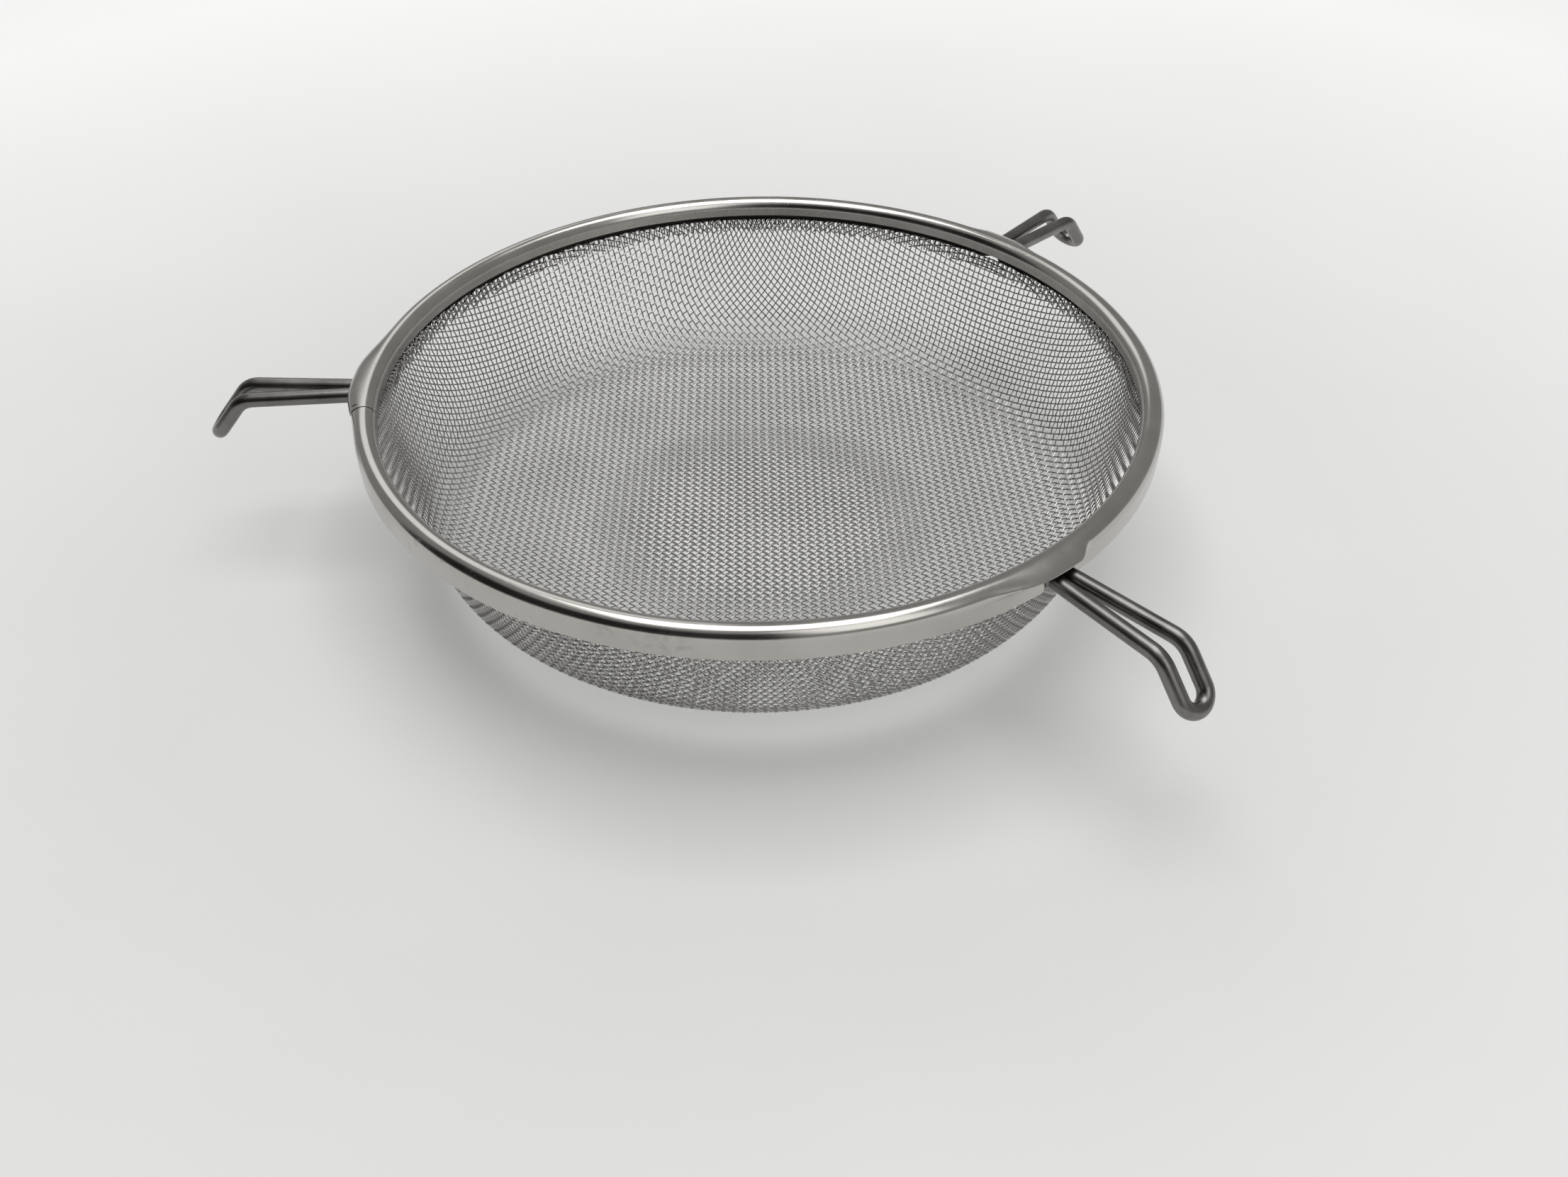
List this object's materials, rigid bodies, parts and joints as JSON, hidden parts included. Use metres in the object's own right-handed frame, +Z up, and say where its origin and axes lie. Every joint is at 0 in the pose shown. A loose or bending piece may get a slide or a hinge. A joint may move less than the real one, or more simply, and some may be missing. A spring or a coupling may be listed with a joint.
{
  "type": "wire mesh strainer",
  "caption": "Round steel honey strainer: a coarse woven-wire bowl in a rolled rim, with bent wire handles that hook over the edge of a bucket.",
  "frame": {"origin": "centre of the flat middle of the bowl's bottom, which the strainer rests on", "axes": "+Z up along the axis of the round bowl, towards its open mouth; -X towards the left handle; the picture looks from -Y"},
  "size_m": [0.2899, 0.2542, 0.058],
  "materials": {
    "rim_steel": "polished, bright, lightly scuffed stainless strip",
    "mesh_steel": "woven stainless wire with a dull shine",
    "handle_steel": "satin drawn stainless wire"
  },
  "bodies": {
    "root": {"rim_band": "rim_steel", "sieve_bowl": "mesh_steel", "handle_left": "handle_steel", "handle_front": "handle_steel", "handle_rear": "handle_steel"}
  },
  "joints": []
}
